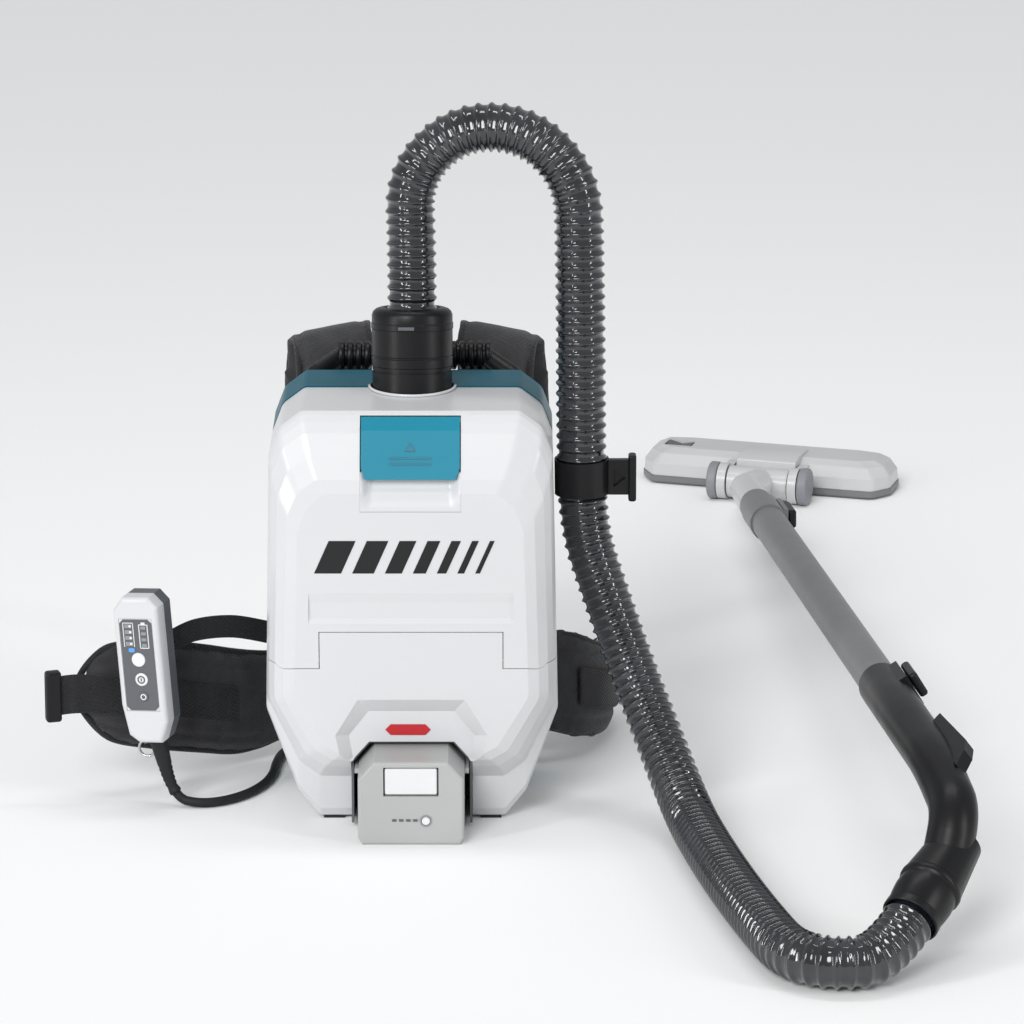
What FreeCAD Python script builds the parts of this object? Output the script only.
import FreeCAD, Part
import math
import os

# Backpack vacuum cleaner. Millimetres, +Z up, the wearer's side towards +Y, the front towards -Y.
# The origin is on the floor, under the middle of the pack's base.

V = FreeCAD.Vector
X_AXIS = V(1, 0, 0)
Y_AXIS = V(0, 1, 0)
Z_AXIS = V(0, 0, 1)

# ---------------------------------------------------------------- driving dimensions

WALL = 3.0                # thickness of the pack's shells
PARTING_Y = 20.0          # plane between the white front shells and the teal rear housing
REAR_Y = 70.0             # back of the teal housing
FRONT_Y = -84.5           # flat front of the pack
RECESS_Y = -77.5          # floor of the shallow recess round the battery bay
BASE_Z = 2.5              # underside of the shells, on rubber feet
TOP_Z = 317.5             # top of the shells
SEAM_Z = 129.2            # seam between the cover and the lower housing
TAB_TOP_Z = 155.2         # top of the raised tab of the lower housing
TAB_HALF = 68.0           # half the tab's width
GAP = 0.6                 # visible gap between shells

COVER_AXIS = V(0, -81.0, 133.0)      # cover hinge, along X
LATCH_AXIS = V(0, -60.5, 308.5)      # latch hinge, along X
LATCH_HALF = 36.5

BAY_HALF = 43.5           # battery bay, half width
BAY_TOP = 66.0
BAY_SHOULDER = 51.5       # where the bay's 45 degree corners start
BAY_REAR = -6.0
BATTERY_HALF = 39.5
BATTERY_TOP = 64.5
BATTERY_BASE = 0.0        # it stands on the floor, like the feet
BATTERY_FRONT = -117.0
BATTERY_REAR = -8.0

CUFF_FOOT = V(0, PARTING_Y, 318.0)   # where the cuff's axis meets the top of the pack
CUFF_LEAN = 8.0                      # degrees, towards the wearer
CUFF_R = 30.5
CUFF_TOP = 59.0                      # along the axis from the foot
COLLAR_TOP = 15.0
CUFF_DIR = V(0, math.sin(math.radians(CUFF_LEAN)), math.cos(math.radians(CUFF_LEAN)))

HOSE_R = 19.0             # outside radius of the corrugated hose
HOSE_WALL = 2.5           # the corrugated wall, as one even thickness
HOSE_DEPTH = 9.0          # how deep the hose's ends sit in their cuffs
CABLE_R = 3.5

MOTOR = V(0, 37.0, 0)     # the motor's upright axis
MOTOR_R = 28.0

PIPE_R = 15.0
HANDLE_R = 17.5
PIPE_START = V(352.5, -52.0, 104.0)
PIPE_END = V(291.6, 680.0, 40.4)
PIPE_DIR = (PIPE_END - PIPE_START).normalize()
HOSE_MOUTH = V(351.2, -383.6, 37.7)
MOUTH_DIR = V(0.480, 0.745, 0.463).normalize()      # from the mouth into the handle

NOZZLE_CENTRE = V(314.5, 905.0, 0)
NOZZLE_YAW = -17.0
NOZZLE_LENGTH = 236.0
NOZZLE_DEPTH = 72.0
BARREL_X = 6.5            # barrel centre in the nozzle's own frame
BARREL_Y = -66.5
BARREL_Z = 17.0
BARREL_R = 14.5
BARREL_HALF = 28.0
WHEEL_R = 17.0
NECK_R = 14.0
NECK_LENGTH = 80.0         # from the pipe to the elbow's knee

REMOTE_CENTRE = V(-201.0, -22.0, 110.0)
REMOTE_YAW = -18.0
REMOTE_LEAN = -4.5
REMOTE_HALF = V(18.0, 14.0, 57.0)

# The hose's route, from the cuff over the loop, through the clip, down and along the floor to the wand.
HOSE_FLOOR = 19.3
HOSE_ROUTE = [
    CUFF_FOOT + CUFF_DIR * (CUFF_TOP - HOSE_DEPTH),
    CUFF_FOOT + CUFF_DIR * (CUFF_TOP + 46),
    V(-2.5, 39.5, 475),
    V(35, 42, 512),
    V(87, 34, 512),
    V(124, 20, 476),
    V(125.5, 15, 420),
    V(126.5, 12.5, 360),
    V(127, 10.5, 300),
    V(128, 9, 212),
    V(146, -5, 161),
    V(165, -21, 110),
    V(187, -55, 60),
    V(206, -105, 21.5),
    V(218, -177.7, HOSE_FLOOR),
    V(233.3, -261.3, HOSE_FLOOR),
    V(250.5, -339.5, HOSE_FLOOR),
    V(267.5, -405.3, HOSE_FLOOR),
    V(298.2, -422, HOSE_FLOOR),
    V(332.1, -413.2, HOSE_FLOOR),
    HOSE_MOUTH + MOUTH_DIR * HOSE_DEPTH,
]

# The remote's cable, from its strain relief along the floor and round behind the pack to its gland.
CABLE_FLOOR = 3.9
RELIEF_TOP = V(-193.5, -24.5, 54.0)
RELIEF_DIR = V(0.24, -0.05, -0.97).normalize()
RELIEF_TIP = RELIEF_TOP + RELIEF_DIR * 25
GLAND_TIP = V(-62, 84, 12)
CABLE_ROUTE = [
    RELIEF_TIP,
    RELIEF_TIP + RELIEF_DIR * 24,
    V(-160, -33, CABLE_FLOOR),
    V(-137, -22, CABLE_FLOOR),
    V(-118, 4, CABLE_FLOOR),
    V(-109, 36, CABLE_FLOOR),
    V(-108, 70, CABLE_FLOOR),
    V(-103, 97, CABLE_FLOOR),
    V(-86, 120, 5),
    V(-62.5, 117, 9.5),
    GLAND_TIP,
]

os.makedirs("parts", exist_ok=True)


# ---------------------------------------------------------------- helpers

def save(name, *shapes):
    """One node: a STEP file that holds one solid, or a group of separate ones."""
    solids = [solid for shape in shapes for solid in shape.Solids]
    for solid in solids:
        if not solid.isValid():
            print("not valid:", name)
    shape = solids[0] if len(solids) == 1 else Part.makeCompound(solids)
    shape.exportStep("parts/" + name + ".step")


def box(low, high):
    size = V(*high) - V(*low)
    return Part.makeBox(size.x, size.y, size.z, V(*low))


def cylinder(base, direction, radius, length):
    return Part.makeCylinder(radius, length, base, direction)


def ring(base, direction, outer, inner, length):
    return cylinder(base, direction, outer, length).cut(cylinder(base, direction, inner, length))


def both_sides(shape):
    """The shape and its mirror image across the pack's middle plane."""
    return [shape, shape.mirror(V(0, 0, 0), X_AXIS)]


def prism(points, direction):
    """A closed outline of 3D points, pushed along a vector."""
    return Part.Face(Part.makePolygon(points + points[:1])).extrude(direction)


def fuse(first, *others):
    return first.fuse(list(others)).removeSplitter()


def rounded(shape, radius, keep=lambda edge: True):
    """Fillets the chosen edges, with a smaller radius where the shape can't take the full one."""
    for r in (radius, radius * 0.6, radius * 0.35):
        try:
            made = shape.makeFillet(r, [edge for edge in shape.Edges if keep(edge)])
            if made.isValid() and made.Volume > 0:
                return made
        except Exception:
            pass
    return shape


def rounded_outline(points, radii):
    """A closed wire through the points, its corners rounded by tangent arcs."""
    edges = []
    count = len(points)
    starts = []
    ends = []
    mids = []
    for i, corner in enumerate(points):
        before = (points[i - 1] - corner).normalize()
        after = (points[(i + 1) % count] - corner).normalize()
        half = before.getAngle(after) / 2
        reach = radii[i] / math.tan(half)
        middle = (before + after).normalize()
        starts.append(corner + before * reach)
        ends.append(corner + after * reach)
        mids.append(corner + middle * (radii[i] / math.sin(half) - radii[i]))
    for i in range(count):
        edges.append(Part.Arc(starts[i], mids[i], ends[i]).toShape())
        edges.append(Part.LineSegment(ends[i], starts[(i + 1) % count]).toShape())
    return Part.Wire(edges)


def cord_tube(points, radius, name):
    """A round tube along straight runs that are joined by tangent arcs as large as the runs allow."""
    edges = []
    here = points[0]
    tightest = None
    for i in range(1, len(points) - 1):
        back = points[i - 1] - points[i]
        onward = points[i + 1] - points[i]
        reach = 0.45 * min(back.Length, onward.Length)
        turn = math.pi - back.getAngle(onward)
        bend = reach / math.tan(turn / 2)
        tightest = bend if tightest is None else min(tightest, bend)
        print(f"{name} point {i}: turn {math.degrees(turn):.1f}, radius {bend:.0f}")
        start = points[i] + back.normalize() * reach
        end = points[i] + onward.normalize() * reach
        inward = (back + onward).normalize()
        middle = points[i] + inward * (bend / math.cos(turn / 2) - bend)
        edges.append(Part.LineSegment(here, start).toShape())
        edges.append(Part.Arc(start, middle, end).toShape())
        here = end
    edges.append(Part.LineSegment(here, points[-1]).toShape())
    path = Part.Wire(edges)
    section = Part.Wire([Part.makeCircle(radius, points[0], points[1] - points[0])])
    tube = path.makePipeShell([section], True, False)
    expected = math.pi * radius ** 2 * path.Length
    print(f"{name}: length {path.Length:.1f}, volume ratio {tube.Volume / expected:.4f}, "
          f"tightest radius {tightest:.1f}")
    return tube


def band(stations, thickness):
    """A padded strap: stations are (centre, half width as a vector, outward normal)."""
    wires = []
    for centre, across, normal in stations:
        out = normal.normalize() * (thickness / 2)
        corners = [centre - across - out, centre + across - out, centre + across + out, centre - across + out]
        wires.append(Part.makePolygon(corners + corners[:1]))
    return Part.makeLoft(wires, True, True)


def placed(shape, yaw, lean, centre):
    """Turns a shape that was made about its own centre, and puts it in the pack's frame."""
    turn = FreeCAD.Rotation(Z_AXIS, yaw).multiply(FreeCAD.Rotation(Y_AXIS, lean))
    made = shape.copy()
    made.Placement = FreeCAD.Placement(centre, turn)
    return made


# ---------------------------------------------------------------- the pack's outer form

FRONT_STATIONS = [        # y, how far the sides come in, top z, bottom z
    (PARTING_Y, 0.0, 316.5, BASE_Z),
    (-54.0, 0.0, TOP_Z, BASE_Z),
    (-58.0, 0.5, 315.5, 9.0),
    (-62.0, 1.2, 311.0, 36.0),
    (-67.0, 2.5, 303.5, 41.0),
    (-75.0, 7.0, 288.0, 48.0),
    (-81.5, 14.0, 272.0, 55.0),
    (FRONT_Y, 22.0, 262.0, 60.0),
]
REAR_STATIONS = [
    (PARTING_Y, 0.0, 317.5, BASE_Z),
    (REAR_Y - 6, 0.0, 319.0, BASE_Z),
    (REAR_Y, 5.0, 314.0, BASE_Z + 5),
]
CORNER_RADII = [4, 12, 16, 14, 12, 7]


def pack_outline(y, inset, top, bottom):
    """The pack's front view at a depth: feet, flared sides, chamfered shoulders, flat top."""
    drop = TOP_Z - top
    rise = bottom - BASE_Z
    right = [
        V(70 - 0.8 * inset, y, bottom),
        V(86 - inset, y, 23 + 0.75 * rise),
        V(109.5 - inset, y, 88 + 0.3 * rise),
        V(105.5 - inset, y, 284 - 0.9 * drop),
        V(97.5 - inset, y, 305 - 0.95 * drop),
        V(81 - 0.8 * inset, y, top),
    ]
    left = [V(-p.x, p.y, p.z) for p in reversed(right)]
    return rounded_outline(right + left, CORNER_RADII + CORNER_RADII[::-1])


def pack_form(stations, offset, end_shift=0.0):
    """The solid inside the outlines, drawn in by an offset on every side but the open one."""
    wires = []
    for i, (y, inset, top, bottom) in enumerate(stations):
        depth = y if i == 0 else y + end_shift
        wires.append(pack_outline(depth, inset + offset, top - offset, bottom + offset))
    return Part.makeLoft(wires, True, True)


def front_form(offset):
    return pack_form(FRONT_STATIONS, offset, offset)


def rear_form(offset):
    return pack_form(REAR_STATIONS, offset, -offset)


def cuff_point(along):
    return CUFF_FOOT + CUFF_DIR * along


# The well that the inlet collar stands in, with its clearance.
CUFF_WELL = cylinder(cuff_point(-30), CUFF_DIR, CUFF_R + 1.2, 70)


def bay_outline(grow, y, depth):
    points = [
        V(-BAY_HALF - grow, y, -5),
        V(-BAY_HALF - grow, y, BAY_SHOULDER + 0.4 * grow),
        V(-BAY_HALF + 12.5 - 0.4 * grow, y, BAY_TOP + grow),
    ]
    mirrored = [V(-p.x, p.y, p.z) for p in reversed(points)]
    return prism(points + mirrored, V(0, depth, 0))


# ---------------------------------------------------------------- shells

EXHAUST_ROWS = 7


def make_rear_housing():
    shell = rear_form(0).cut(rear_form(WALL))
    shell = shell.cut(CUFF_WELL)
    for side in (-1, 1):
        inner, outer = sorted((side * 98, side * 120))
        for row in range(EXHAUST_ROWS):
            z = 170 + 11 * row
            shell = shell.cut(box((inner, 34, z), (outer, 58, z + 5)))
    gland = ring(V(GLAND_TIP.x, REAR_Y - 3, GLAND_TIP.z), Y_AXIS, 6.0, 4.4, 10)
    opening = cylinder(V(GLAND_TIP.x, REAR_Y - 8, GLAND_TIP.z), Y_AXIS, 4.4, 20)
    front_half = box((-120, -120, -5), (120, PARTING_Y + GAP / 2, 400))
    save("rear_housing", fuse(shell.cut(opening), gland).cut(front_half))


def cover_knuckle(radius, length=260.0):
    """A round bar about the cover's hinge line, which the seam's edges follow."""
    return cylinder(V(-length / 2, COVER_AXIS.y, COVER_AXIS.z), X_AXIS, radius, length)


def recess(y_mouth, mouth, y_floor, floor):
    """The shallow recess round the battery bay: corners are (x, z) on the right, from the top down."""
    wires = []
    for y, corners in ((y_mouth, mouth), (y_floor, floor)):
        points = [V(x, y, z) for x, z in corners]
        points += [V(-p.x, p.y, p.z) for p in reversed(points)]
        wires.append(Part.makePolygon(points + points[:1]))
    return Part.makeLoft(wires, True, True)


def make_lower_housing():
    outside = recess(-86, [(41.7, 105.4), (59, 75.5), (53.7, 50)], RECESS_Y, [(32, 92), (47, 73), (44, 56)])
    behind = recess(-86, [(45, 109), (63, 76), (58, 46)], RECESS_Y + WALL, [(34, 94.5), (50, 74), (47, 52)])
    shell = front_form(0).cut(outside).cut(front_form(WALL).cut(behind))
    tab = box((-TAB_HALF, -130, SEAM_Z - 20), (TAB_HALF, -70, TAB_TOP_Z))
    below = box((-130, -130, -10), (130, PARTING_Y - GAP / 2, SEAM_Z - GAP))
    shell = shell.common(fuse(below, tab))
    outside_tab = cover_knuckle(6.9).cut(box((-TAB_HALF, -130, 0), (TAB_HALF, 0, 400)))
    shell = shell.cut(outside_tab)
    shell = shell.cut(bay_outline(2.0, -130, 130 + BAY_REAR + 2.0))
    for lug in both_sides(cylinder(V(TAB_HALF - 8, COVER_AXIS.y + 2.2, COVER_AXIS.z), X_AXIS, 5.0, 8)):
        shell = shell.fuse(lug.common(front_form(0.05)))
    for hole in both_sides(cylinder(V(TAB_HALF - 7, COVER_AXIS.y, COVER_AXIS.z), X_AXIS, 1.3, 20)):
        shell = shell.cut(hole)
    save("lower_housing", shell)


def make_cover():
    trough = prism([V(-76, FRONT_Y - 1, 159), V(-76, FRONT_Y + 1.3, 166), V(-76, FRONT_Y + 1.3, 178),
                    V(-76, FRONT_Y - 1, 192)], V(152, 0, 0))
    pocket = front_form(-2).cut(front_form(8)).common(
        box((-LATCH_HALF - 0.8, -130, 248), (LATCH_HALF + 0.8, -52, 315)))
    pan = box((-LATCH_HALF - 4, -130, 244), (LATCH_HALF + 4, -50, 330)).cut(front_form(11))
    hollow = front_form(WALL).cut(pan)
    region = box((-130, -130, SEAM_Z), (130, PARTING_Y - GAP / 2, 330))
    region = region.cut(box((-TAB_HALF - GAP, -130, 0), (TAB_HALF + GAP, -60, TAB_TOP_Z + GAP)))
    edge_bar = cover_knuckle(6.5).cut(box((-TAB_HALF - GAP, -130, 0), (TAB_HALF + GAP, 0, 400)))
    shell = front_form(0).cut(trough).cut(pocket).cut(hollow).common(region.fuse(edge_bar))
    lug = cylinder(V(TAB_HALF + GAP, COVER_AXIS.y + 2.2, COVER_AXIS.z), X_AXIS, 5.0, 8)
    for side in both_sides(lug.common(front_form(0.05))):
        shell = shell.fuse(side)
    shell = shell.cut(CUFF_WELL)
    for hole in both_sides(cylinder(V(TAB_HALF - 7, COVER_AXIS.y, COVER_AXIS.z), X_AXIS, 1.25, 14)):
        shell = shell.cut(hole)
    for hole in both_sides(cylinder(V(30, LATCH_AXIS.y, LATCH_AXIS.z), X_AXIS, 1.45, 9)):
        shell = shell.cut(hole)
    save("front_cover", shell)
    pins = both_sides(cylinder(V(TAB_HALF - 6.5, COVER_AXIS.y, COVER_AXIS.z), X_AXIS, 1.25, 13))
    save("cover_hinge_pins", *pins)
    save("latch_pins", *both_sides(cylinder(V(31.5, LATCH_AXIS.y, LATCH_AXIS.z), X_AXIS, 1.45, 7.5)))
    seal = front_form(WALL + 0.2).cut(front_form(WALL + 4))
    seal = seal.common(box((-120, PARTING_Y - 10, 165), (120, PARTING_Y - 6, 330)))
    save("cover_gasket", seal.cut(CUFF_WELL))


def make_latch():
    outer = [(-59.6, 314.3), (-66.9, 305.6), (-75.9, 288.4), (-82.4, 272.3)]
    inner = [(-77.6, 270.8), (-71.4, 286.0), (-62.6, 302.8), (-56.6, 309.5)]
    points = [V(-LATCH_HALF, y, z) for y, z in outer + inner]
    plate = prism(points, V(2 * LATCH_HALF, 0, 0))
    chamfer = [V(LATCH_HALF, -100, 260), V(LATCH_HALF - 8, -100, 260), V(LATCH_HALF, -100, 280)]
    for corner in both_sides(prism(chamfer, V(0, 60, 0))):
        plate = plate.cut(corner)
    for hole in both_sides(cylinder(V(31, LATCH_AXIS.y, LATCH_AXIS.z), X_AXIS, 1.5, 9)):
        plate = plate.cut(hole)
    save("cover_latch", plate)


# ---------------------------------------------------------------- inside the pack

def make_inlet():
    collar = ring(cuff_point(-12), CUFF_DIR, CUFF_R - 0.5, 22.0, 12 + COLLAR_TOP)
    groove = ring(cuff_point(COLLAR_TOP - 4), CUFF_DIR, CUFF_R + 1, CUFF_R - 1.6, 1.6)
    save("inlet_collar", collar.cut(groove))
    skirt = ring(cuff_point(COLLAR_TOP + 0.4), CUFF_DIR, CUFF_R, 14.0, 38)
    rim = Part.makeCone(CUFF_R, 24.0, CUFF_TOP - COLLAR_TOP - 38.4, cuff_point(COLLAR_TOP + 38.4), CUFF_DIR)
    rim = rim.cut(cylinder(cuff_point(COLLAR_TOP + 38), CUFF_DIR, 14.0, 12))
    spigot = ring(cuff_point(-6), CUFF_DIR, 21.95, 18.0, COLLAR_TOP + 8)
    socket = cylinder(cuff_point(CUFF_TOP - HOSE_DEPTH - 0.4), CUFF_DIR, HOSE_R + 0.4, 30)
    save("swivel_cuff", fuse(skirt, rim, spigot).cut(socket))


def make_air_path():
    bag = box((-84, -48, 172), (84, 56, 296))
    neck = cylinder(cuff_point(-30), CUFF_DIR, 20.0, 18)
    save("dust_bag", rounded(bag, 16).fuse(neck).removeSplitter())
    frame = box((-96, -60, 158), (96, 66.5, 164)).cut(box((-72, -46, 157), (72, 48, 165)))
    save("filter_frame", frame)
    block = box((-71.5, -45.5, 140), (71.5, 47.5, 164))
    for i in range(12):
        x = -66 + 12 * i
        block = block.cut(box((x - 2.5, -42, 143), (x + 2.5, 44, 166)))
    save("hepa_filter", block)


def make_motor():
    can = ring(V(MOTOR.x, MOTOR.y, 12), Z_AXIS, MOTOR_R, MOTOR_R - 2.5, 92)
    base = ring(V(MOTOR.x, MOTOR.y, 12), Z_AXIS, MOTOR_R, 10.0, 3)
    seat = ring(V(MOTOR.x, MOTOR.y, 72), Z_AXIS, MOTOR_R - 1, 10.0, 3)
    lid = ring(V(MOTOR.x, MOTOR.y, 101), Z_AXIS, MOTOR_R, 14.0, 3)
    save("motor_housing", fuse(can, base, seat, lid))
    save("motor_stator", ring(V(MOTOR.x, MOTOR.y, 30), Z_AXIS, 24.0, 13.0, 32))
    bearings = [ring(V(MOTOR.x, MOTOR.y, z), Z_AXIS, 9.9, 4.05, 6) for z in (13.5, 71.5)]
    save("motor_bearings", *bearings)
    shaft = cylinder(V(MOTOR.x, MOTOR.y, 10), Z_AXIS, 4.0, 88)
    magnet = cylinder(V(MOTOR.x, MOTOR.y, 32), Z_AXIS, 11.5, 28)
    save("rotor_shaft", fuse(shaft, magnet))
    disc = ring(V(MOTOR.x, MOTOR.y, 82), Z_AXIS, 22.0, 4.0, 2)
    hub = ring(V(MOTOR.x, MOTOR.y, 82), Z_AXIS, 8.0, 4.0, 12)
    blades = []
    for i in range(9):
        blade = box((6, -0.8, 83), (22, 0.8, 92))
        blade.rotate(V(14, 0, 83), Z_AXIS, 30)
        blade.rotate(V(0, 0, 0), Z_AXIS, 40 * i)
        blade.translate(MOTOR)
        blades.append(blade)
    save("impeller", fuse(disc, hub, *blades))


def make_electronics():
    board = box((-55, -66, 84), (55, -4, 86))
    parts = [box((-45, -55, 86), (-20, -30, 96)), box((5, -50, 86), (20, -20, 94))]
    parts += [cylinder(V(35, y, 86), Z_AXIS, 6, 14) for y in (-48, -30)]
    save("control_board", fuse(board, *parts))


def make_bay():
    liner = bay_outline(1.8, -74, 74 + BAY_REAR + 1.8).cut(bay_outline(0, -75, 75 + BAY_REAR))
    liner = liner.cut(box((-60, -90, -6), (60, 10, BASE_Z + 0.5)))
    ledges = both_sides(box((40.6, -70, 41.0), (BAY_HALF + 0.5, BAY_REAR + 0.5, 45.0)))
    save("bay_liner", fuse(liner, *ledges))
    save("battery_terminal", box((-22, BAY_REAR - 1.6, 26), (22, BAY_REAR, 50)))


# ---------------------------------------------------------------- battery

def make_battery():
    half = BATTERY_HALF
    outline = [V(half, BATTERY_FRONT, BATTERY_BASE + 5), V(half - 3, BATTERY_FRONT, BATTERY_BASE),
               V(-half + 3, BATTERY_FRONT, BATTERY_BASE), V(-half, BATTERY_FRONT, BATTERY_BASE + 5),
               V(-half, BATTERY_FRONT, BAY_SHOULDER - 0.5), V(-half + 12, BATTERY_FRONT, BATTERY_TOP),
               V(half - 12, BATTERY_FRONT, BATTERY_TOP), V(half, BATTERY_FRONT, BAY_SHOULDER - 0.5)]
    case = prism(outline, V(0, BATTERY_REAR - BATTERY_FRONT, 0))
    case = rounded(case, 2.5, lambda e: abs(e.BoundBox.YMax - BATTERY_FRONT) < 0.01)
    ribs = both_sides(box((half - 1, -84, 45.3), (half + 3.2, BATTERY_REAR - 2, 49)))
    pocket = box((-20.5, BATTERY_FRONT - 1, 38), (20.5, BATTERY_FRONT + 12, 60.5))
    key_hole = cylinder(V(11, BATTERY_FRONT - 1, 19), Y_AXIS, 3.4, 7)
    save("battery_case", fuse(case, *ribs).cut(pocket).cut(key_hole))
    button = box((-19.5, BATTERY_FRONT + 0.5, 39), (19.5, BATTERY_FRONT + 7.5, 59.5))
    save("battery_button", rounded(button, 1.5))
    save("gauge_button", cylinder(V(11, BATTERY_FRONT - 0.6, 19), Y_AXIS, 3.0, 4.6))


# ---------------------------------------------------------------- harness

def make_back():
    plate = box((-92, REAR_Y + 0.4, 24), (92, REAR_Y + 6, 284))
    for low, high in ((120, 165), (185, 235)):
        plate = plate.cut(box((-50, REAR_Y, low), (50, REAR_Y + 7, high)))
    save("back_plate", rounded(plate, 2.0, lambda e: e.BoundBox.YLength > 4 and e.Length < 8))
    pad = box((-78, REAR_Y + 6.2, 118), (78, REAR_Y + 20, 236))
    save("back_pad", rounded(pad, 5))


def make_handle():
    grip_z = 321.5
    grip_y = REAR_Y + 30
    grip = cylinder(V(-58, grip_y, grip_z), X_AXIS, 11.0, 116)
    parts = []
    for side in (-1, 1):
        inner, outer = sorted((side * 72, side * 90))
        foot = box((inner, REAR_Y + 0.4, 284.2), (outer, REAR_Y + 14, 300))
        low = V(side * 81, REAR_Y + 8, 296)
        high = V(side * 56, grip_y, grip_z)
        parts += [foot, cylinder(low, high - low, 6.5, (high - low).Length)]
    save("carry_handle", fuse(grip, *parts))


def strap_station(side, x, y, z, half, slope):
    """slope is the angle of the strap's run in the side view, in degrees from upright."""
    normal = V(0, -math.cos(math.radians(slope)), math.sin(math.radians(slope)))
    return V(side * x, y, z), V(half, 0, 0), normal


def make_shoulder_straps():
    route = [     # x, y, z, half width, slope
        (60, 86, 244, 31, 14),
        (61, 97, 272, 31, 34),
        (62, 119, 300, 32, 32),
        (63, 136, 320, 33, 55),
        (66, 158, 326, 33, 95),
        (70, 180, 312, 33, 135),
        (74, 194, 280, 32, 162),
        (77, 198, 238, 31, 178),
        (79, 192, 190, 29, 190),
        (81, 178, 148, 25, 202),
    ]
    for side, name in ((-1, "shoulder_strap_left"), (1, "shoulder_strap_right")):
        save(name, band([strap_station(side, *s) for s in route], 13.0))
    web = [(82, 172, 138, 12.5, 204), (85, 150, 118, 12.5, 230),
           (87, 120, 112, 12.5, 268), (87, 80, 114, 12.5, 270)]
    webs = [band([strap_station(side, *s) for s in web], 2.4) for side in (-1, 1)]
    save("shoulder_webbing", *webs)
    slides = []
    for side in (-1, 1):
        block = box((side * 86 - 17, 123, 107.5), (side * 86 + 17, 141, 122.5))
        slot = box((side * 86 - 13.8, 119, 110), (side * 86 + 13.8, 143, 120.3))
        slides.append(block.cut(slot))
    save("strap_adjusters", *slides)


LEFT_BELT = [      # x, y, low z, high z
    (-30, 84.5, 20, 90),
    (-94, 86, 16, 92),
    (-122, 77, 9, 95),
    (-141, 60, 10, 102),
    (-164, 42, 17, 111),
    (-200, 21, 27, 121),
    (-232, 6, 38, 122),
    (-256, -2, 58, 110),
]
RIGHT_BELT = [
    (30, 84.5, 24, 108),
    (94, 86, 22, 108),
    (122, 95, 14, 104),
    (141, 116, 8, 90),
    (150, 148, 6, 76),
    (149, 184, 8, 72),
    (138, 216, 16, 66),
]


def belt_stations(route, out, height=None):
    """Upright stations of a belt, of its own height or a fixed one, moved away from the wearer."""
    stations = []
    for i, (x, y, low, high) in enumerate(route):
        ahead = V(*route[min(i + 1, len(route) - 1)][:2], 0)
        behind = V(*route[max(i - 1, 0)][:2], 0)
        run = (ahead - behind).normalize()
        normal = V(run.y, -run.x, 0)
        if route[-1][0] < 0:
            normal = normal * -1
        half = height / 2 if height else (high - low) / 2
        centre = V(x, y, (low + high) / 2) + normal * out
        stations.append((centre, V(0, 0, half), normal))
    return stations


WEBBING_HEIGHT = 31.0


def make_belt():
    thickness = 13.0
    save("belt_pad_left", band(belt_stations(LEFT_BELT, 0), thickness))
    save("belt_pad_right", band(belt_stations(RIGHT_BELT, 0), thickness))
    face = thickness / 2 + 1.4
    left = belt_stations(LEFT_BELT[3:], face, WEBBING_HEIGHT)
    tail = left[-1]
    left.append((tail[0] + V(-15, -5, 0), tail[1], tail[2]))
    right = belt_stations(RIGHT_BELT[2:], face, WEBBING_HEIGHT)
    save("belt_webbing", band(left, 2.4), band(right, 2.4))
    end = left[-1][0]
    buckle = Part.makeBox(12, 9, 40, V(-6, -4.5, -20))
    buckle = rounded(buckle, 2.5)
    slot = Part.makeBox(20, 2.8, 33.0, V(-10, -1.4, -16.5))
    save("belt_buckle", placed(buckle.cut(slot), 17, 0, end + V(-4.2, -1.3, 0)))
    upper = [(-113, 66, 110), (-140, 45, 121), (-168, 24, 124), (-190, 10, 117)]
    stations = []
    for x, y, z in upper:
        stations.append((V(x, y, z), V(0, 0, 9), V(-0.55, -0.83, 0)))
    save("stabiliser_strap", band(stations, 2.4))


# ---------------------------------------------------------------- remote control

def remote(shape):
    return placed(shape, REMOTE_YAW, REMOTE_LEAN, REMOTE_CENTRE)


def remote_body(y0, y1):
    hx, hz = REMOTE_HALF.x, REMOTE_HALF.z
    points = [V(-hx + 4, y0, -hz + 6), V(-hx + 12, y0, -hz), V(hx - 6, y0, -hz), V(hx, y0, -hz + 16),
              V(hx, y0, hz - 8), V(hx - 7, y0, hz), V(-hx + 8, y0, hz), V(-hx, y0, hz - 10),
              V(-hx, y0, -hz + 30)]
    return prism(points, V(0, y1 - y0, 0))


EYE = V(-8.0, 5.0, -60.0)         # hole that the D-ring hangs in, in the remote's own frame
BUTTON_SPOTS = [(0, 9, 5.4), (1, -6.5, 5.0), (1.5, -20, 3.8)]       # x, z, radius on the remote's face


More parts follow.
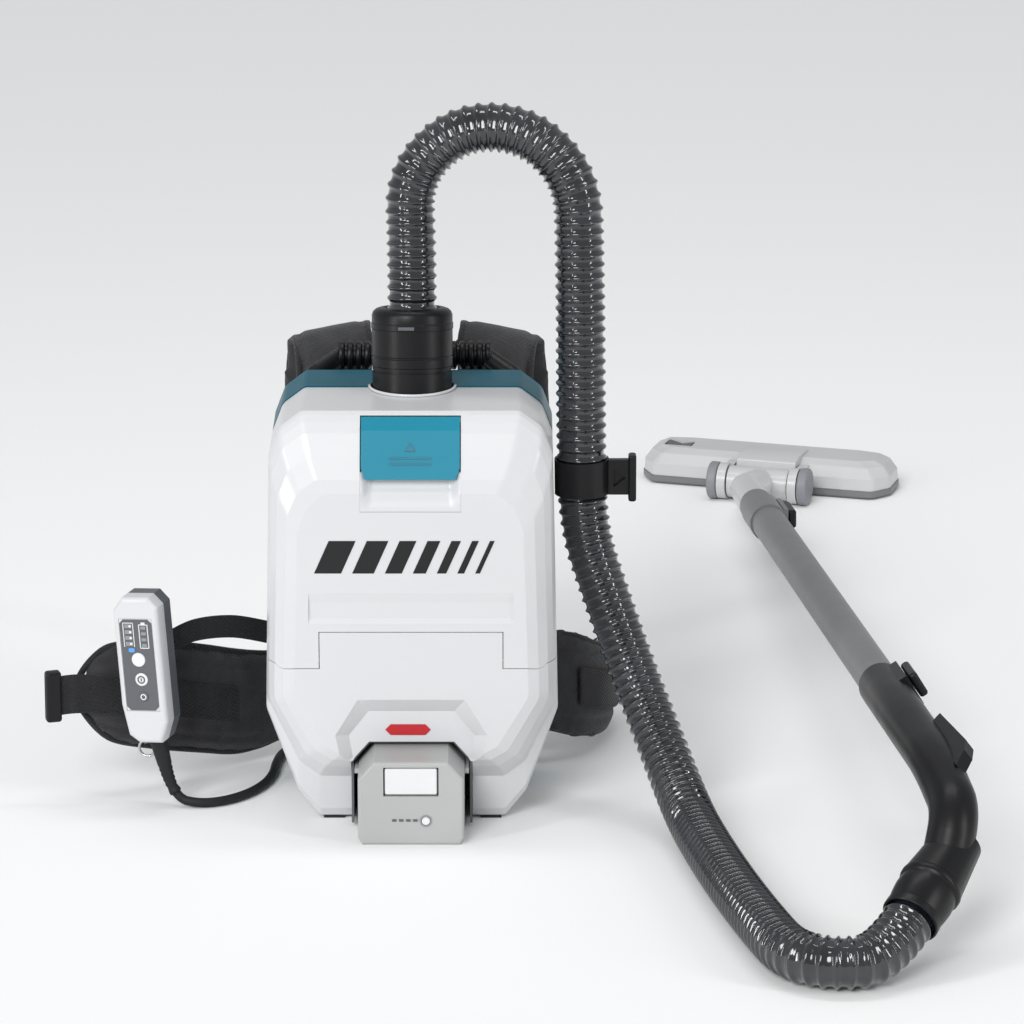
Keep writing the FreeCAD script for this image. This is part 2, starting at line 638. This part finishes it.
def make_remote():
    front_y = -REMOTE_HALF.y
    front = remote_body(front_y, 1.0)
    front = rounded(front, 3.5, lambda e: abs(e.BoundBox.YMax - front_y) < 0.01)
    hollow = box((-14.5, -9, -50), (14.5, 2, 50))
    window = box((-13.5, front_y - 1, -31.5), (13.5, front_y + 1.2, 41))
    front = front.cut(hollow).cut(window)
    panel = box((-13.2, front_y + 0.3, -31.2), (13.2, front_y + 1.2, 40.7))
    for x, z, r in BUTTON_SPOTS:
        well = cylinder(V(x, front_y - 2, z), Y_AXIS, r + 0.3, 5.5)
        front = front.cut(well)
        panel = panel.cut(well)
    save("remote_front_shell", remote(front))
    save("remote_panel", remote(panel))
    rear = remote_body(1.2, REMOTE_HALF.y).cut(box((-14.5, 0, -50), (14.5, REMOTE_HALF.y - 2, 50)))
    hook = box((-9, REMOTE_HALF.y, 20), (9, REMOTE_HALF.y + 1.5, 46))
    eyelet = box((EYE.x - 1, EYE.y - 2.6, EYE.z - 2.6), (EYE.x + 1, EYE.y + 2.6, 2 - REMOTE_HALF.z))
    eyelet = eyelet.cut(cylinder(EYE - X_AXIS * 2, X_AXIS, 1.4, 4))
    save("remote_rear_shell", remote(fuse(rear, hook, eyelet)))
    for name, (x, z, r) in zip(("mode_button", "power_button", "eco_button"), BUTTON_SPOTS):
        cap = cylinder(V(x, front_y - 0.9, z), Y_AXIS, r, 3.2)
        cap = rounded(cap, 0.6, lambda e: abs(e.BoundBox.YMax - front_y + 0.9) < 0.01)
        save("remote_" + name, remote(cap))
    loop = Part.makeTorus(6.5, 1.0, V(EYE.x, EYE.y, EYE.z - 6.5), Y_AXIS)
    save("remote_d_ring", remote(loop))
    boot = Part.makeCone(7.0, 4.6, 25, RELIEF_TOP, RELIEF_DIR)
    collar = cylinder(RELIEF_TOP + RELIEF_DIR * 14, RELIEF_DIR, 6.2, 4)
    save("cable_strain_relief", fuse(boot, collar).cut(remote(remote_body(-REMOTE_HALF.y, REMOTE_HALF.y))))


# ---------------------------------------------------------------- hose and cable

def make_cords():
    tube = cord_tube(HOSE_ROUTE, HOSE_R, "hose")
    bore = cord_tube(HOSE_ROUTE, HOSE_R - HOSE_WALL, "hose bore")
    save("hose", tube.cut(bore))
    save("remote_cable", cord_tube(CABLE_ROUTE, CABLE_R, "cable"))
    above, below = HOSE_ROUTE[8], HOSE_ROUTE[9]
    run = (above - below).normalize()
    foot = below + run * ((237 - below.z) / run.z)
    edge = foot.x + HOSE_R + 0.9
    clip = ring(foot, run, HOSE_R + 1.5, HOSE_R + 0.35, 27)
    tab = box((edge, 4, 237), (edge + 19, 10, 264))
    window = prism([V(edge + 4, 0, 243), V(edge + 13, 0, 250), V(edge + 4, 0, 257)], V(0, 7, 0))
    bar = box((edge + 15, 1, 232), (edge + 21, 13, 268))
    save("hose_clip", fuse(clip, tab.cut(window), rounded(bar, 2)))


# ---------------------------------------------------------------- wand

HANDLE_RING = HOSE_MOUTH + MOUTH_DIR * 36
SOCKET_START = PIPE_START - PIPE_DIR * 90
HANDLE_BEND_END = V(377.5, -262, 111)
HANDLE_ROUTE = [
    HANDLE_RING,
    HANDLE_RING + MOUTH_DIR * 22,
    V(387, -322, 97),
    HANDLE_BEND_END,
    SOCKET_START,
    PIPE_START,
]
CUFF_RING_R = 22.4                                      # the hose's cuff and the flare it turns on
PIPE_SIDE = PIPE_DIR.cross(Z_AXIS).normalize()          # towards +X, square to the pipe
LOCK_OUT = (PIPE_SIDE * 0.85 + Z_AXIS * 0.53).normalize()
GUARD_OUT = (PIPE_SIDE * 0.8 + Z_AXIS * 0.6).normalize()
GUARD_WIDTH = 10.0
LOCK_SPOT = PIPE_START - PIPE_DIR * 34                  # the lock button's place on the pipe's axis
LEVER_SPOT = PIPE_END - PIPE_DIR * 48


def side_block(along, out, width, length, low, high):
    """A block on the side of the pipe, from one distance off its axis to another."""
    lift = out - PIPE_DIR * out.dot(PIPE_DIR)
    lift.normalize()
    across = PIPE_DIR.cross(lift)
    corners = []
    for a, b in ((-1, -1), (1, -1), (1, 1), (-1, 1)):
        corners.append(along + across * (a * width / 2) + PIPE_DIR * (b * length / 2) + lift * low)
    return prism(corners, lift * (high - low))


def make_guard():
    """The fin that stands off the handle between its bend and its socket."""
    run = (SOCKET_START - HANDLE_BEND_END).normalize()
    across = PIPE_DIR.cross(GUARD_OUT)
    foot = HANDLE_BEND_END + GUARD_OUT * (HANDLE_R - 6) - across * (GUARD_WIDTH / 2)
    outline = [
        foot - run * 34,
        foot - run * 20 + GUARD_OUT * 11,
        foot - run * 6 + GUARD_OUT * 16,
        foot + run * 62 + GUARD_OUT * 12,
        foot + run * 56,
    ]
    return prism(outline, across * GUARD_WIDTH)


def make_handle_pipe():
    tube = cord_tube(HANDLE_ROUTE, HANDLE_R, "handle")
    flare = Part.makeCone(CUFF_RING_R, HANDLE_R + 0.1, 42, HANDLE_RING + MOUTH_DIR * 0.4, MOUTH_DIR)
    bore = cylinder(SOCKET_START + PIPE_DIR * 30, PIPE_DIR, PIPE_R + 0.05, 70)
    boss = side_block(LOCK_SPOT, LOCK_OUT, 25, 52, 8, 18.6)
    pocket = side_block(LOCK_SPOT, LOCK_OUT, 20.8, 44, 17.0, 30)
    save("handle_pipe", fuse(tube, flare, make_guard(), boss).cut(pocket).cut(bore))


def make_hose_end_cuff():
    back = MOUTH_DIR * -1
    swivel = cylinder(HANDLE_RING, back, CUFF_RING_R, 6)
    dome_length = (HANDLE_RING - HOSE_MOUTH).Length - 6
    dome = Part.makeCone(CUFF_RING_R, 20.4, dome_length, HANDLE_RING + back * 6, back)
    inside = cylinder(HOSE_MOUTH, MOUTH_DIR, 14.0, 60)
    socket = cylinder(HOSE_MOUTH + back, MOUTH_DIR, HOSE_R + 0.4, HOSE_DEPTH + 1.4)
    save("hose_end_cuff", fuse(swivel, dome).cut(inside).cut(socket))


def make_wand():
    lock = side_block(LOCK_SPOT, LOCK_OUT, 20, 42, 19.2, 26)
    save("handle_lock", rounded(lock, 2.5))
    start = PIPE_START - PIPE_DIR * 58
    total = (PIPE_END - start).Length
    pipe = ring(start, PIPE_DIR, PIPE_R, PIPE_R - 1.2, total)
    collar = ring(PIPE_END - PIPE_DIR * 84, PIPE_DIR, PIPE_R + 1.6, PIPE_R - 0.5, 60)
    boss = side_block(LEVER_SPOT, PIPE_SIDE, 20, 50, 14.2, 18.2)
    pocket = side_block(LEVER_SPOT, PIPE_SIDE, 16.8, 44, 16.7, 30)
    save("wand_pipe", fuse(pipe, collar, boss).cut(pocket))
    lever = side_block(LEVER_SPOT, PIPE_SIDE, 16, 42, 18.4, 26)
    save("pipe_lock", rounded(lever, 2.5))


# ---------------------------------------------------------------- floor nozzle

def nozzle(shape):
    made = shape.copy()
    made.Placement = FreeCAD.Placement(NOZZLE_CENTRE, FreeCAD.Rotation(Z_AXIS, NOZZLE_YAW))
    return made


def nozzle_outline(z, inset):
    half = NOZZLE_LENGTH / 2 - inset
    deep = NOZZLE_DEPTH / 2 - inset
    front_cut = 20 - 0.8 * inset
    back_cut = 18 - 0.8 * inset
    points = [V(half - 13, -deep, z), V(half, -deep + front_cut, z), V(half, deep - back_cut, z),
              V(half - 22, deep, z)]
    points += [V(-p.x, p.y, p.z) for p in reversed(points)]
    return rounded_outline(points, [9 - 0.35 * inset] * 8)


def make_nozzle():
    levels = [nozzle_outline(8.2, 1), nozzle_outline(19, 1.5), nozzle_outline(28, 8), nozzle_outline(32, 17)]
    top = Part.makeLoft(levels, True, True)
    hollow = [nozzle_outline(8.2, 4), nozzle_outline(18, 5), nozzle_outline(26, 12)]
    inside = Part.makeLoft(hollow, True, True)
    shell = top.cut(inside)
    arms = []
    for side in (-1, 1):
        middle = BARREL_X + side * (BARREL_HALF + 5.2)
        collar = cylinder(V(middle - 4, BARREL_Y, BARREL_Z), X_AXIS, WHEEL_R - 0.6, 8)
        arm = box((middle - 4, BARREL_Y, 10), (middle + 4, -30, 28))
        arms.append(fuse(collar, arm))
    rocker_x = -86
    well = box((rocker_x - 13, -12, 21), (rocker_x + 13, 6, 40))
    tray = box((rocker_x - 15, -14, 19), (rocker_x + 15, 8, 40)).common(top)
    shell = fuse(shell, tray, *arms).cut(well)
    axle_hole = cylinder(V(-60, BARREL_Y, BARREL_Z), X_AXIS, 3.0, 130)
    save("nozzle_top", nozzle(shell.cut(axle_hole)))
    sole = Part.makeLoft([nozzle_outline(1.0, 2), nozzle_outline(3, 0), nozzle_outline(8, 0)], True, True)
    mouth = box((-100, -10, -1), (100, 8, 6))
    runners = [box((x - 3, -28, 0), (x + 3, -12, 2)) for x in (-90, 90)]
    runners += [box((x - 3, 12, 0), (x + 3, 28, 2)) for x in (-90, 90)]
    slot = box((-104, 18, -1), (104, 25, 7))
    throat = box((-18, -8, 0), (18, 6, 9))
    sole = fuse(sole, *runners)
    save("nozzle_sole", nozzle(sole.cut(mouth).cut(slot).cut(throat)))
    save("nozzle_brush", nozzle(box((-84, 19.2, 0.4), (84, 23.8, 6.5))))
    rocker_outline = [
        V(rocker_x - 11.5, -10, 24),
        V(rocker_x, -10, 22.8),
        V(rocker_x + 11.5, -10, 24),
        V(rocker_x + 11.5, -10, 31.6),
        V(rocker_x, -10, 29.6),
        V(rocker_x - 11.5, -10, 32.6),
    ]
    save("nozzle_rocker", nozzle(prism(rocker_outline, V(0, 14, 0))))
    for side, name in ((-1, "nozzle_wheel_left"), (1, "nozzle_wheel_right")):
        inner = BARREL_X + side * (BARREL_HALF + 9.8)
        start = min(inner, inner + side * 9)
        wheel = rounded(cylinder(V(start, BARREL_Y, BARREL_Z), X_AXIS, WHEEL_R, 9), 2.0)
        axle = cylinder(V(min(inner - side * 8, inner + side * 2), BARREL_Y, BARREL_Z), X_AXIS, 2.9, 10)
        save(name, nozzle(fuse(wheel, axle)))


def make_elbow():
    turn = FreeCAD.Rotation(Z_AXIS, NOZZLE_YAW)
    along = turn.multVec(X_AXIS)
    centre = NOZZLE_CENTRE + turn.multVec(V(BARREL_X, BARREL_Y, BARREL_Z))
    barrel = cylinder(centre - along * BARREL_HALF, along, BARREL_R, 2 * BARREL_HALF)
    spigot = cylinder(PIPE_END - PIPE_DIR * 34, PIPE_DIR, PIPE_R - 1.3, 40)
    start = PIPE_END + PIPE_DIR * 0.3
    knee = start + PIPE_DIR * NECK_LENGTH
    neck = Part.makeCone(PIPE_R + 0.4, NECK_R, NECK_LENGTH, start, PIPE_DIR)
    bend = Part.makeSphere(NECK_R, knee)
    reach = (centre - knee).Length
    last = Part.makeCone(NECK_R, BARREL_R - 0.6, reach, knee, centre - knee)
    body = fuse(neck, bend, last, barrel).cut(box((200, 600, -20), (400, 1000, 0.8)))
    save("nozzle_elbow", fuse(body, spigot))


# ---------------------------------------------------------------- feet and screws

def make_small_parts():
    pads = both_sides(box((51, -54, 0), (67, -22, BASE_Z)))
    pads += both_sides(box((50, 40, 0), (68, 60, BASE_Z)))
    bar = box((-40, -3, 0), (40, 14, BASE_Z))
    save("rubber_feet", bar, *pads)
    screws = []
    for x, z in ((60, 40), (80, 108), (88, 232), (60, 276)):
        for side in (-1, 1):
            head = cylinder(V(side * x, REAR_Y + 6.05, z), Y_AXIS, 3.4, 1.4)
            recess = cylinder(V(side * x, REAR_Y + 6.6, z), Y_AXIS, 1.5, 1.0)
            screws.append(head.cut(recess))
    save("housing_screws", *screws)


make_rear_housing()
make_lower_housing()
make_cover()
make_latch()
make_inlet()
make_air_path()
make_motor()
make_electronics()
make_bay()
make_battery()
make_back()
make_handle()
make_shoulder_straps()
make_belt()
make_remote()
make_cords()
make_handle_pipe()
make_hose_end_cuff()
make_wand()
make_nozzle()
make_elbow()
make_small_parts()
